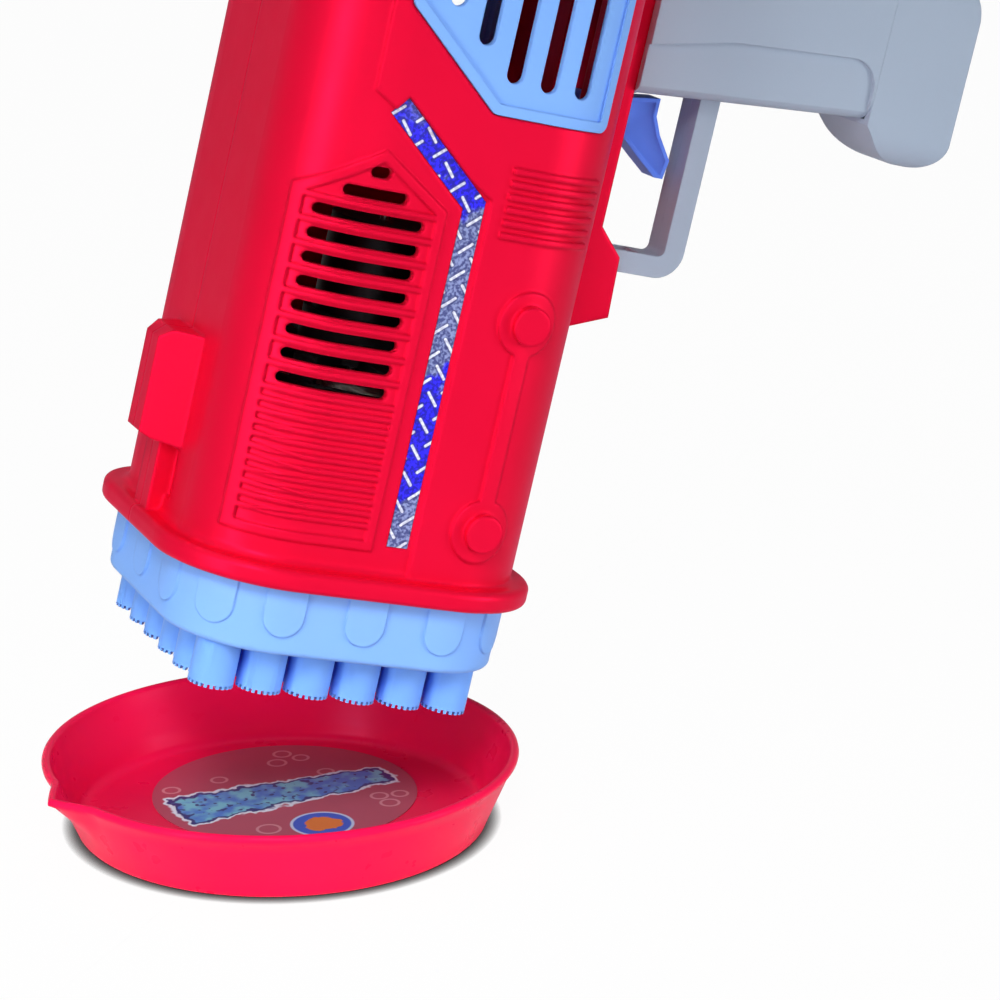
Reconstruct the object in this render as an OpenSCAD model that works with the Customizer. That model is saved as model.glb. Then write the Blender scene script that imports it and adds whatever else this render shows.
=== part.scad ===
// Multi-hole bubble blower, held nose down over its dipping tray.
// The blower is drawn in its own frame, with the muzzle flange's front face at z = 0, the barrel running
// to the rear along +Z and the handle on the +X side, and held() then leans it over the tray.

/* [Stance] */
// Lean of the barrel towards the handle side, in degrees
lean = 13.9; // [8:0.1:18]
// Flange centre ahead of the tray's centre
hold_x = 8.4; // [4:0.1:14]
// Flange centre above the floor
hold_z = 66.3; // [64:0.1:90]

/* [Body] */
// Half the width of the rounded-square barrel
body_half = 40; // [38:0.5:46]
// Corner radius of the barrel
body_corner_r = 21.5; // [16:0.5:26]
// Barrel length behind the flange's front face
body_len = 190; // [188:1:220]
// Wall of the body shells
wall = 2.2; // [1.6:0.1:2.6]
// How far the muzzle flange stands out
flange_out = 5.5; // [3:0.5:8]
// Thickness of the muzzle flange
flange_t = 5; // [3:0.5:6]
// Rounding of the flange's edges
flange_round = 1.6; // [1:0.1:2]
// Fillet between the flange and the barrel
flange_fillet = 2; // [1:0.1:3]
// Rounding of the barrel's rear edge
rear_round = 5; // [3:0.5:6]
// Height of the raised zone on the handle side
raise = 0.8; // [0.5:0.1:1.5]
// Edge of the raised zone, from the barrel axis
raise_x = 7.4; // [6.6:0.1:8]

/* [Vent panel] */
// Middle of the vent panel, from the barrel axis
vent_x = -19.2; // [-20:0.1:-18.5]
// Half width of the vent panel
vent_half = 16.8; // [15.5:0.1:17]
// Lower edge of the vent panel
vent_z0 = 10.5; // [9:0.5:13]
// Shoulder of the vent panel
vent_z1 = 88; // [86:0.5:92]
// Peak of the vent panel
vent_z2 = 99; // [97:0.5:103]
// Width of the panel's raised rim
vent_rim = 2.2; // [1.5:0.1:3]
// Height of the rim and of the ribs
vent_rise = 0.7; // [0.4:0.1:1]
// Pitch of the vent slots and ribs
vent_pitch = 5.4; // [5:0.1:5.8]
// Width of a rib
vent_rib_w = 1.2; // [0.8:0.1:1.6]
// Width of a vent slot
vent_slot_w = 2.6; // [2:0.1:3]
// Length of a full vent slot, end to end
vent_slot_len = 25; // [20:0.5:26]
// Number of full-length vent slots
vent_slots = 8; // [6:1:8]
// Height of the highest full-length slot
vent_slot_z = 83.6; // [82:0.1:84]

/* [Strip] */
// Width of the tread-plate strip
strip_w = 5; // [4:0.1:5.4]
// Centre line of the strip's straight run
strip_x = 3.7; // [3:0.1:4]
// Lower end of the strip
strip_z0 = 12; // [10:0.5:16]
// Bend of the strip
strip_z1 = 90.5; // [89:0.5:92]
// Depth of the strip's channel
strip_depth = 0.45; // [0.4:0.05:0.8]
// Thickness of the strip
strip_t = 0.3; // [0.2:0.05:0.35]

/* [Grille] */
// Left edge of the grille
grille_x0 = -21; // [-22:0.5:-20]
// Right edge of the grille
grille_x1 = 32.2; // [31:0.1:32.5]
// Lower edge of the grille
grille_z0 = 111; // [110.5:0.5:113]
// Rear edge of the grille, ahead of the barrel's rear end
grille_rear = 19; // [17:0.5:25]
// Chamfer of the grille's corners across the barrel
grille_cut_x = 24; // [20:0.5:25]
// Chamfer of the grille's corners along the barrel
grille_cut_z = 20; // [18:0.5:22]
// How far the grille stands out of the raised zone
grille_out = 0.6; // [0.3:0.1:1]
// Width of the lip behind the shell
grille_lip = 1.5; // [1:0.1:2]
// Pitch of the grille slots
grille_pitch = 8.4; // [8:0.1:8.6]
// Width of a grille slot
grille_slot_w = 4.2; // [3:0.1:4.6]
// Bar left between the slots' ends and the grille's edge
grille_bar = 6.5; // [5:0.5:8]
// Radius of the grille's corners
grille_corner = 2.2; // [1.5:0.1:3]
// Width of the border round the grille's sunk face
grille_border = 2.4; // [2:0.1:3]
// How far the grille's face is sunk in its border
grille_step = 0.7; // [0.3:0.1:0.9]
// Thickness of the grille's slotted face
grille_plate = 1.8; // [1.4:0.1:2.4]

/* [Link and sight] */
// Link pads, from the barrel axis
link_x = 22.5; // [21:0.5:24]
// Front link pad along the barrel
link_z0 = 18.3; // [16:0.1:20]
// Distance between the link pads
link_len = 48.2; // [40:0.1:50]
// Radius of a link pad
link_pad_r = 7.4; // [6:0.1:8]
// Radius of the round heads on the pads
link_head_r = 4.4; // [3:0.1:5]
// Width of the bar between the pads
link_bar_w = 4; // [3:0.1:5]
// Height of the pads and of the bar over the raised zone
link_rise = 0.9; // [0.5:0.1:1.5]
// Height of the heads over the pads
link_head_rise = 1.9; // [1:0.1:2.5]
// Number of finger ribs behind the link
grip_ribs = 6; // [4:1:6]
// Pitch of the finger ribs
grip_rib_pitch = 2.9; // [2.6:0.1:3]
// First finger rib along the barrel
grip_rib_z = 85.2; // [84:0.1:86]
// Height of the sight block
sight_h = 9; // [8:0.5:11]
// Half width of the sight's crest
sight_crest = 4.5; // [3:0.5:6]
// Half width of the sight's base
sight_base = 10; // [9:0.5:14]
// Front end of the sight
sight_z0 = 22.2; // [21:0.1:26]
// Length of the sight
sight_len = 24; // [20:0.5:28]
// Width of the recesses beside the rib in front of the sight
recess_w = 4; // [3:0.1:5]

/* [Keel] */
// Height of the keel under the barrel
keel_h = 10; // [9:0.5:11]
// Half width of the keel and of the lug
keel_half = 10; // [9.5:0.5:12]
// Front of the lug
lug_z0 = 63; // [60:0.5:66]
// Length of the lug
lug_len = 25; // [24:0.5:28]
// Height of the lug over the keel
lug_h = 6.8; // [6:0.1:8]

/* [Nozzle] */
// How far the skirt stands out of the barrel's outline
skirt_out = 0.25; // [0:0.05:1]
// Length of the skirt in front of the flange
skirt_len = 16; // [14:0.5:18]
// Wall of the skirt
skirt_wall = 2; // [1.6:0.1:2.2]
// Rounding of the skirt's front edge
skirt_round = 1.5; // [1:0.1:1.6]
// Length of the collar inside the body
collar_len = 9; // [7:0.5:12]
// Width of a tab on the skirt
tab_w = 9.6; // [7:0.1:11]
// Length of a tab
tab_len = 11.5; // [9:0.1:13]
// Spacing of the tabs
tab_pitch = 19.5; // [18:0.1:19.9]
// Height of a tab
tab_rise = 0.6; // [0.4:0.1:1]
// Tubes along each side of the square grid
tube_rows = 6; // [4:1:6]
// Pitch of the tubes
tube_pitch = 11.5; // [11:0.1:11.6]
// Outer diameter of a tube
tube_d = 10.4; // [8:0.1:10.6]
// Wall of a tube
tube_wall = 1.3; // [0.8:0.1:1.8]
// Tube tips in front of the flange's front face
tube_tip = 27; // [24:0.5:32]
// Thickness of the tube plate
plate_t = 2.5; // [2:0.1:4]
// Ledge of the skirt in front of which the tube plate sits
ledge_t = 3; // [2:0.1:4]

/* [Fan] */
// Front face of the duct plate
duct_z = 22; // [20:0.5:23]
// Thickness of the duct plate
duct_t = 2.5; // [2:0.1:3]
// Inner radius of the duct
duct_r = 25.6; // [24:0.1:26]
// Length of the duct behind its plate
duct_len = 18; // [16:0.5:20]
// Radius of the impeller
fan_r = 24.6; // [20:0.1:24.8]
// Radius of the impeller's hub
fan_hub_r = 6; // [5:0.1:8]
// Width of the impeller
fan_w = 13; // [10:0.5:14]
// Number of blades
fan_blades = 7; // [5:1:9]
// Front face of the motor bracket
bracket_z = 46; // [45.5:0.5:48]
// Thickness of the motor bracket
bracket_t = 2.5; // [2:0.1:3]
// Radius of the motor can
motor_r = 12; // [10:0.1:14]
// Length of the motor can
motor_len = 27; // [24:0.5:32]
// Radius of the motor shaft
shaft_r = 1; // [0.8:0.1:1.5]

/* [Handle] */
// Half thickness of the handle
grip_half = 13; // [12.5:0.5:15]
// Rounding of the handle's long edges
grip_round = 5; // [3:0.5:5]
// Rounding of the butt's edges
butt_round = 8; // [5:0.5:9]
// Depth of the finger band's recess on each side
band_depth = 1; // [0.5:0.1:1.2]
// Wall of the handle
grip_wall = 2.2; // [1.8:0.1:2.6]
// Front face of the handle at its root
grip_z0 = 119.3; // [118.5:0.1:120]
// Depth of the handle from front to back
grip_depth = 38.7; // [38:0.1:42]
// Reach of the handle from the keel to the butt's end
grip_len = 84.2; // [83:0.1:90]
// Seam between the handle and its butt, before the butt's end
butt_len = 23.5; // [20:0.5:25]
// Radius of the butt's front lobe
lobe_r = 7.5; // [6:0.5:9]
// How far the front lobe stands out of the handle's front
lobe_out = 5; // [4:0.1:6]
// Radius of the flare from the handle's front to the lobe
flare_r = 15.3; // [14:0.1:16]
// Middle of the flare, before the butt's end
flare_back = 9.2; // [8.5:0.1:10]
// Radius of the butt's rear lobe
heel_r = 12; // [9:0.5:13]
// Half width of the trigger guard
guard_half = 4.6; // [4.4:0.1:6]
// Thickness of the guard's bars
guard_t = 5.2; // [4:0.1:6]
// Outer face of the guard, from the keel
guard_out = 25.3; // [24:0.1:28]
// Front edge of the guard, ahead of the handle's front face
guard_front = 42.3; // [41:0.1:44]
// Outer corner radius of the guard
guard_corner = 7; // [5.5:0.5:9]

/* [Trigger] */
// Half thickness of the trigger
trigger_half = 3.4; // [2.5:0.1:3.6]
// Trigger pivot, over the barrel's surface
pivot_out = 4; // [3.8:0.1:4.4]
// Trigger pivot, ahead of the handle's front face
pivot_ahead = 6.3; // [6:0.1:7]
// Reach of the trigger's tip from the keel
trigger_out = 16.3; // [15:0.1:17]
// Trigger's tip, ahead of the handle's front face
trigger_ahead = 19; // [17:0.1:20]
// Radius of the trigger's hub
hub_r = 3.6; // [3:0.1:3.8]
// Radius of the trigger pin
pin_r = 1.5; // [1.2:0.1:1.8]
// Radius of the switch plunger
plunger_r = 1.8; // [1.4:0.1:1.9]

/* [Battery] */
// Radius of a cell
cell_r = 7.2; // [7.2:0.05:7.25]
// Length of a cell
cell_len = 50.5; // [50:0.1:50.8]
// Start of the cells, from the keel
cell_x = 20; // [19.5:0.1:20.5]

/* [Screws] */
// Radius of a screw's shank
screw_r = 1.4; // [1.2:0.1:1.6]
// Radius of a screw's head
screw_head_r = 2.6; // [2.2:0.1:2.8]
// Height of a screw's head
screw_head_t = 1.8; // [1.4:0.1:2.2]
// Radius of the bosses that the body screws bite into
boss_r = 3.3; // [3.2:0.1:3.6]

/* [Tray] */
// Outer radius of the tray at its rim
tray_rim_r = 56.5; // [56:0.5:62]
// Outer radius of the tray's base
tray_base_r = 48.6; // [48:0.1:54]
// Height of the tray
tray_h = 17.8; // [14:0.1:19]
// Wall of the tray
tray_wall = 1.5; // [1.2:0.1:2.2]
// Radius of the rim's bead
tray_bead = 1.1; // [0.9:0.1:1.4]
// Fillet between the tray's floor and wall
tray_fillet = 3; // [2:0.5:5]
// How far the spout stands out of the rim
spout_out = 4.8; // [3:0.1:8]
// Half width of the spout at the rim
spout_half = 6; // [5:0.5:9]
// Direction of the spout about the tray's axis
spout_angle = 191; // [170:1:200]
// Radius of the round label on the tray's floor
label_r = 32; // [26:0.5:32.5]
// Middle of the label, off the tray's axis
label_off = 11; // [0:0.5:12]
// Direction of the label's middle about the tray's axis
label_turn = 68; // [0:1:359]
// Thickness of the label
label_t = 0.25; // [0.2:0.05:0.4]

/* [Clearances] */
// Clearance between fixed pieces that fit into each other
fit_gap = 0.15; // [0.1:0.05:0.2]
// Radial clearance of pins and shafts
run_gap = 0.05; // [0.02:0.01:0.1]
// Clearance beside moving pieces
move_gap = 0.5; // [0.4:0.1:0.6]

/* [Hidden] */
$fn = 64;
cut = 1;
far = 300;
body_in = -wall;
keel_x = body_half + keel_h;
skin_in = 0.6;
grille_z1 = body_len - grille_rear;
// The chamfers leave at least a fifth of the grille's length between them
grille_cut = min(grille_cut_z, 0.4 * (grille_z1 - grille_z0));
// Turns of the grille's chamfer, for its edges' parallel offsets
grille_turn_a = atan2(grille_cut_x, grille_cut);
grille_turn_b = 90 - grille_turn_a;
roof_turn = atan2(vent_half, vent_z2 - vent_z1);
// Strip's slanted run is parallel to the grille's chamfer
strip_side = grille_x0 - strip_x + strip_w / 2;
strip_run = [strip_side, -strip_side * grille_cut / grille_cut_x];
strip_dir = strip_run / norm(strip_run);
strip_turn = acos(strip_dir[1]);
// Heights of the short slots over the full ones, and their lengths
short_slots = [[1, 0.6], [1.9, 0.2]];
boss_x = body_half - wall - boss_r - cut;
boss_z = [duct_z + duct_t + boss_r + 3 * fit_gap + 3, (vent_z2 + grille_z0) / 2 - 1,
          grille_z1 + grille_lip + boss_r + cut + 2];
skirt_g = skirt_out;
plate_g = skirt_out - skirt_wall - fit_gap;
ledge_g = plate_g - 2.4;
bore_r = tube_d / 2 - tube_wall;
fan_z = duct_z + duct_t + 3;
motor_z = bracket_z + bracket_t;
end_cap_t = 3.5;
butt_x = keel_x + grip_len - butt_len;
grip_x1 = keel_x + grip_len;
grip_z1 = grip_z0 + grip_depth;
finger_dip = 4.5;
keel_z1 = grip_z1 + 6;
waist_x = butt_x - 1;
grip_slant = atan2(finger_dip, waist_x - keel_x);
band_r = 6.5;
band_x1 = butt_x - 0.7;
bay_half = cell_r + 0.4;
root_half = grip_half - band_depth - grip_wall + 0.4;
bay_z0 = grip_z0 + finger_dip + grip_wall;
cell_z = [bay_z0 + cell_r + 0.2, bay_z0 + 3 * cell_r + 0.5];
bay_z1 = cell_z[1] + cell_r + 0.3;
bay_x0 = keel_x + cell_x - 1.2;
contact_t = 0.6;
bridge_x = keel_x + cell_x + cell_len + 0.2;
pivot_x = body_half + pivot_out;
pivot_z = grip_z0 - pivot_ahead;
plunger_x = keel_x + 7.5;
plunger_z = grip_z0;
switch_z = grip_z0 + 8.7;
switch_h = 10;
switch_half = 5;
switch_x0 = keel_x + 0.6;
switch_x1 = keel_x + 14;
plunger_len = 12.2;
spring_x = keel_x + 3;
spring_r = 2.4;
handle_screw_at = [[keel_x + 4.8, grip_z1 - 13], [keel_x + 12.8, grip_z1 - 7]];
handle_boss_r = 3.2;
door_screw_y = grip_half - screw_head_r - fit_gap - 0.55;
door_screw_z = (cell_z[0] + cell_z[1]) / 2;
door_boss_r = 3.2;
tongue_half = keel_half - wall - 0.4;
tongue_z = [grip_z0 + 0.336 * grip_depth, grip_z0 + 0.853 * grip_depth];
slot_z = [grip_z0 - trigger_ahead - 3 * move_gap, switch_z + 2 * fit_gap];
tray_floor = tray_wall;

red = "#d5122f";
blue = "#7fb0f2";
grey = "#a7b6cb";

// Leans the blower over the tray
module held() translate([hold_x, 0, hold_z]) rotate([0, lean, 0]) children();

// Rounded square, grown or shrunk from the barrel's outline
module outline(grow) {
    r = body_corner_r + grow;
    h = body_half + grow;
    square([2 * h, 2 * (h - r)], center = true);
    square([2 * (h - r), 2 * h], center = true);
    for (sx = [-1, 1], sy = [-1, 1]) translate([sx * (h - r), sy * (h - r)]) circle(r);
}

module prism(grow, z0, z1) translate([0, 0, z0]) linear_extrude(z1 - z0) outline(grow);

module ring(grow0, grow1, z0, z1) {
    difference() {
        prism(grow1, z0, z1);
        prism(grow0, z0 - cut, z1 + cut);
    }
}

// Sweeps a section (outward offset, z) round the barrel's outline
module around() {
    flat = body_half - body_corner_r;
    for (a = [0:90:270]) rotate([0, 0, a]) {
        translate([body_half, flat, 0]) rotate([90, 0, 0]) linear_extrude(2 * flat) children();
        translate([flat, flat, 0]) rotate_extrude(angle = 90) translate([body_corner_r, 0]) children();
    }
}

// Flange's section, with round edges and a fillet to the barrel
module flange_section() {
    r = flange_round;
    f = flange_fillet;
    translate([-skin_in, 0]) square([skin_in + flange_out - r, flange_t]);
    translate([-skin_in, r]) square([skin_in + flange_out, flange_t - 2 * r]);
    for (z = [r, flange_t - r]) translate([flange_out - r, z]) circle(r);
    difference() {
        translate([-skin_in, flange_t - skin_in]) square(skin_in + f);
        translate([f, flange_t + f]) circle(f);
    }
}

// What comes off the barrel's rear edge to round it
module rear_edge_section() {
    r = rear_round;
    difference() {
        translate([-r, body_len - r]) square(2 * r);
        translate([-r, body_len - r]) circle(r);
    }
}

// What comes off the skirt's front edge to round it
module skirt_edge_section() {
    r = skirt_round;
    difference() {
        translate([skirt_out - r, -skirt_len - r]) square(2 * r);
        translate([skirt_out - r, -skirt_len + r]) circle(r);
    }
}

// Extrudes an outline of the side view (x, z) along Y
module along_y(y0, y1) translate([0, y1, 0]) rotate([90, 0, 0]) linear_extrude(y1 - y0) children();

// A layer on the barrel's left skin, cut to an outline of the side view
module skin(grow0, grow1) {
    intersection() {
        ring(grow0, grow1, 0, body_len);
        along_y(-far, 0) children();
    }
}

module stadium(x, z, len, w) {
    translate([x - (len - w) / 2, z - w / 2]) square([len - w, w]);
    for (s = [-1, 1]) translate([x + s * (len - w) / 2, z]) circle(w / 2);
}

module upright_stadium(x, z0, z1, w) {
    translate([x - w / 2, z0 + w / 2]) square([w, z1 - z0 - w]);
    for (z = [z0 + w / 2, z1 - w / 2]) translate([x, z]) circle(w / 2);
}

// Vent panel's outline, shrunk by a margin
module vent_outline(in) {
    x0 = vent_x - vent_half + in;
    x1 = vent_x + vent_half - in;
    shoulder = vent_z1 - in * tan(roof_turn / 2);
    polygon([[x0, vent_z0 + in], [x1, vent_z0 + in], [x1, shoulder], [vent_x, vent_z2 - in / sin(roof_turn)],
             [x0, shoulder]]);
}

module vent_slot_holes() {
    for (i = [0:vent_slots - 1]) stadium(vent_x, vent_slot_z - i * vent_pitch, vent_slot_len, vent_slot_w);
    for (s = short_slots) stadium(vent_x, vent_slot_z + s[0] * vent_pitch, s[1] * vent_slot_len, vent_slot_w);
}

// Ribs between the slots, and twice as many below them
module vent_ribs() {
    lowest = vent_slot_z - (vent_slots - 1) * vent_pitch;
    between = [for (i = [0:vent_slots]) vent_slot_z + (0.5 - i) * vent_pitch];
    below = [for (z = [lowest - vent_pitch:-vent_pitch / 2:vent_z0 + vent_rim + vent_rib_w]) z];
    intersection() {
        vent_outline(vent_rim);
        for (z = concat(between, below))
            translate([vent_x - vent_half, z - vent_rib_w / 2]) square([2 * vent_half, vent_rib_w]);
    }
}

// Strip's outline, grown by a margin
module strip_outline(g) {
    h = strip_w / 2 + g;
    mitre = h * tan(strip_turn / 2);
    tip = [strip_x, strip_z1] + strip_run + strip_dir * g;
    side = [strip_dir[1], -strip_dir[0]] * h;
    polygon([[strip_x - h, strip_z0 - g], [strip_x + h, strip_z0 - g], [strip_x + h, strip_z1 + mitre],
             tip + side, tip - side, [strip_x - h, strip_z1 - mitre]]);
}

// Convex polygon, given counter-clockwise, grown by a radius with round corners
module soft_polygon(p, r) {
    n = len(p);
    out = [for (i = [0:n - 1]) let(d = p[(i + 1) % n] - p[i]) r * [d[1], -d[0]] / norm(d)];
    polygon([for (i = [0:n - 1]) each [p[i] + out[(i + n - 1) % n], p[i] + out[i]]]);
    for (q = p) translate(q) circle(r);
}

// Grille's sharp corners, grown by a margin
function grille_points(g) = let(
    za = grille_z0 + grille_cut - g * tan(grille_turn_a / 2),
    zb = grille_z1 - grille_cut + g * tan(grille_turn_a / 2),
    xb = grille_x0 + grille_cut_x - g * tan(grille_turn_b / 2))
    [[grille_x0 - g, za], [xb, grille_z0 - g], [grille_x1 + g, grille_z0 - g], [grille_x1 + g, grille_z1 + g],
     [xb, grille_z1 + g], [grille_x0 - g, zb]];

// Grille's outline with its round corners, grown by a margin
module grille_outline(g) {
    r = max(grille_corner + g, 0.8);
    soft_polygon(grille_points(g - r), r);
}

// Raised zone: all of the side behind the strip and the grille's corner
module raised_outline() {
    step = raise_x - strip_x;
    polygon([[raise_x, 0], [raise_x, strip_z1 + step * tan(strip_turn / 2)],
             [grille_x0 - step, grille_z0 - step * tan(grille_turn_a / 2) + 2], [grille_x0 - step, body_len],
             [far, body_len], [far, 0]]);
}

module link_outline() {
    translate([link_x - link_bar_w / 2, link_z0]) square([link_bar_w, link_len]);
    for (z = [link_z0, link_z0 + link_len]) translate([link_x, z]) circle(link_pad_r);
}

module grip_rib_outline() {
    for (i = [0:grip_ribs - 1])
        translate([link_x - 1.6 * link_pad_r, grip_rib_z + (i - 0.25) * grip_rib_pitch])
            square([3.2 * link_pad_r, grip_rib_pitch / 2]);
}

module keel_outline(in) {
    translate([body_half - 2 * wall, lug_z0 + 4 + in])
        square([keel_h + 2 * wall - in, keel_z1 - lug_z0 - 4 - 2 * in]);
}

module lug_outline() {
    polygon([[body_half - 2 * wall, lug_z0 - 1], [keel_x - 3, lug_z0], [keel_x + lug_h, lug_z0 + 3.6],
             [keel_x + lug_h - 0.6, lug_z0 + 0.72 * lug_len], [keel_x - 0.5, lug_z0 + lug_len],
             [body_half - 2 * wall, lug_z0 + lug_len]]);
}

module sight() {
    h = body_half - skin_in;
    crest = body_half + sight_h;
    z1 = sight_z0 + sight_len;
    intersection() {
        translate([0, 0, sight_z0 - 2]) linear_extrude(sight_len + 4)
            polygon([[-h, -sight_base], [-crest, -sight_crest], [-crest, sight_crest], [-h, sight_base]]);
        along_y(-sight_base, sight_base)
            polygon([[-h, sight_z0 - 1.2], [-crest + 2.5, sight_z0 - 0.5], [-crest, sight_z0 + 0.6],
                     [-crest, z1 - 1.4], [-crest + 2.7, z1 + 0.9], [-h, z1 + 0.9]]);
    }
    translate([-body_half - 0.4 * sight_h, -sight_crest, flange_t - cut])
        cube([0.4 * sight_h + wall / 2, 2 * sight_crest, sight_z0 - flange_t + 2 * cut]);
}

// Left half of the body's outside, with its mouldings
module shell_outside() {
    prism(0, 0, body_len);
    around() flange_section();
    skin(-skin_in, raise) raised_outline();
    skin(-skin_in, vent_rise) {
        difference() {
            vent_outline(0);
            vent_outline(vent_rim);
        }
        vent_ribs();
    }
    skin(-skin_in, raise + link_rise) {
        link_outline();
        grip_rib_outline();
    }
    for (z = [link_z0, link_z0 + link_len]) translate([link_x, -body_half + skin_in, z]) rotate([90, 0, 0])
        cylinder(r = link_head_r, h = skin_in + raise + link_rise + link_head_rise);
    along_y(-keel_half, keel_half) {
        keel_outline(0);
        lug_outline();
    }
    sight();
}

module shell_hollows() {
    around() rear_edge_section();
    prism(body_in, -cut, body_len - wall);
    along_y(-(keel_half - wall), keel_half - wall) keel_outline(wall);
    along_y(-far, -body_half / 2) vent_slot_holes();
    skin(-strip_depth, flange_out + far / 10) strip_outline(fit_gap);
    along_y(-far, -body_half / 2) grille_outline(fit_gap);
    // Trigger's slot and the handle's socket in the keel
    translate([keel_x - 2 * wall, -trigger_half - move_gap, slot_z[0]])
        cube([far, 2 * (trigger_half + move_gap), slot_z[1] - slot_z[0]]);
    translate([keel_x - 2 * wall, -tongue_half - fit_gap, tongue_z[0] - fit_gap])
        cube([far, 2 * (tongue_half + fit_gap), tongue_z[1] - tongue_z[0] + 2 * fit_gap]);
    // Pocket in the lug for the end of the guard
    translate([guard_x0() - fit_gap, -guard_half - fit_gap, guard_z0() - fit_gap])
        cube([far, 2 * (guard_half + fit_gap), guard_t + 2 * fit_gap]);
    // Recesses beside the rib in front of the sight
    for (y = [-sight_crest - recess_w, sight_crest])
        translate([-far - body_half + wall / 2, y, flange_t + recess_w])
            cube([far, recess_w, sight_z0 - flange_t - 1.5 * recess_w]);
    // Holes of the trigger pin
    translate([pivot_x, 0, pivot_z]) rotate([90, 0, 0])
        cylinder(r = pin_r + run_gap, h = 2 * keel_half - wall, center = true);
}

module shell_half(screw_side) {
    difference() {
        union() {
            difference() {
                intersection() {
                    shell_outside();
                    translate([-far, -far, -far]) cube([2 * far, far, 2 * far]);
                }
                shell_hollows();
            }
            intersection() {
                for (x = [-boss_x, boss_x], z = boss_z) translate([x, 0, z]) rotate([90, 0, 0])
                    cylinder(r = boss_r, h = body_half);
                prism(-wall / 2, 0, body_len);
            }
        }
        for (x = [-boss_x, boss_x], z = boss_z) translate([x, 0, z]) rotate([90, 0, 0]) {
            translate([0, 0, -cut])
                cylinder(r = screw_r + run_gap, h = cut + (screw_side ? far : screw_bite()));
            if (screw_side) translate([0, 0, screw_grip()]) cylinder(r = screw_head_r + fit_gap, h = far);
        }
    }
}

// Depth of the body screws' bite in the left bosses and of their grip in the right ones
function screw_bite() = 0.35 * body_half;
function screw_grip() = 0.45 * body_half;

module body_shell_left() color(red) held() shell_half(false);

module body_shell_right() color(red) held() mirror([0, 1, 0]) shell_half(true);

module grille() {
    face = raise + grille_out;
    difference() {
        union() {
            skin(body_in - 1.2, face) grille_outline(0);
            skin(body_in - 1.2, body_in) grille_outline(grille_lip);
        }
        skin(face - grille_step, face + cut) grille_outline(-grille_border);
        skin(body_in - 1.2 - cut, face - grille_step - grille_plate) grille_outline(-grille_border);
        along_y(-far, -body_half / 2) grille_slot_holes();
    }
}

// Slots along the barrel, cut off below and above at the same bar from the edge
module grille_slot_holes() {
    for (i = [0:4]) {
        x = grille_x1 - grille_bar - 2.8 - i * grille_pitch;
        slope = max(0, grille_x0 + grille_cut_x + grille_bar * 0.6 - x) * grille_cut / grille_cut_x;
        upright_stadium(x, grille_z0 + grille_bar + slope, grille_z1 - grille_bar - slope, grille_slot_w);
    }
}

module grille_left() color(blue) held() grille();

module grille_right() color(blue) held() mirror([0, 1, 0]) grille();

module strip() skin(-strip_depth, strip_t - strip_depth) strip_outline(0);

module strip_left() color("silver") held() strip();

module strip_right() color("silver") held() mirror([0, 1, 0]) strip();

// Skirt in front of the flange, with the collar that the shells close on
module nozzle_skirt() color(blue) held() {
    difference() {
        union() {
            prism(skirt_g, -skirt_len, 0);
            prism(body_in - fit_gap, -cut, collar_len);
            intersection() {
                ring(skirt_g - skin_in, skirt_g + tab_rise, -skirt_len, 0);
                skirt_tabs();
            }
        }
        prism(plate_g + fit_gap, -skirt_len - cut, -ledge_t);
        prism(ledge_g, -ledge_t - cut, collar_len + cut);
        around() skirt_edge_section();
    }
}

module skirt_tabs() {
    for (a = [0:90:270]) rotate([0, 0, a]) along_y(-far, 0) {
        for (x = [-tab_pitch, 0, tab_pitch]) tab_outline(x);
    }
    for (a = [45:90:315]) rotate([0, 0, a]) along_y(-far, 0) tab_outline(0);
}

module tab_outline(x) {
    translate([x - tab_w / 2, tab_w / 2 - tab_len]) square([tab_w, tab_len - tab_w / 2]);
    translate([x, tab_w / 2 - tab_len]) circle(tab_w / 2);
}

function tube_at(i) = (i - (tube_rows - 1) / 2) * tube_pitch;

// Plate of open tubes that the film of solution spans
module tube_plate() color(blue) held() {
    difference() {
        union() {
            prism(plate_g, -ledge_t - plate_t, -ledge_t);
            for (i = [0:tube_rows - 1], j = [0:tube_rows - 1]) translate([tube_at(i), tube_at(j), -tube_tip])
                cylinder(d = tube_d, h = tube_tip - ledge_t - plate_t / 2);
        }
        for (i = [0:tube_rows - 1], j = [0:tube_rows - 1])
            translate([tube_at(i), tube_at(j), -tube_tip - cut]) cylinder(r = bore_r, h = tube_tip + 2 * cut);
    }
}

// Plate across the barrel with the round duct of the impeller
module fan_duct() color("white") held() {
    difference() {
        union() {
            prism(body_in - fit_gap, duct_z, duct_z + duct_t);
            translate([0, 0, duct_z]) cylinder(r = duct_r + 1.8, h = duct_t + duct_len);
        }
        translate([0, 0, duct_z - cut]) cylinder(r = duct_r, h = duct_t + duct_len + 2 * cut);
    }
}

// Axial impeller with flat slanted blades
module impeller() color("white") held() {
    blade_t = 1.2;
    pitch = 40;
    blade_h = (fan_w - blade_t * sin(pitch)) / cos(pitch);
    sweep = (blade_h * sin(pitch) + blade_t * cos(pitch)) / 2;
    reach = sqrt(fan_r * fan_r - sweep * sweep);
    difference() {
        union() {
            translate([0, 0, fan_z]) cylinder(r = fan_hub_r, h = fan_w);
            for (i = [0:fan_blades - 1]) rotate([0, 0, i * 360 / fan_blades])
                translate([0, 0, fan_z + fan_w / 2]) rotate([pitch, 0, 0])
                    translate([fan_hub_r / 2, -blade_t / 2, -blade_h / 2])
                        cube([reach - fan_hub_r / 2, blade_t, blade_h]);
        }
        translate([0, 0, fan_z - cut]) cylinder(r = shaft_r + run_gap, h = fan_w + 2 * cut);
    }
}

module motor_shaft() color("silver") held()
    translate([0, 0, fan_z + 1]) cylinder(r = shaft_r, h = motor_z + motor_len + end_cap_t - fan_z);

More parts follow.
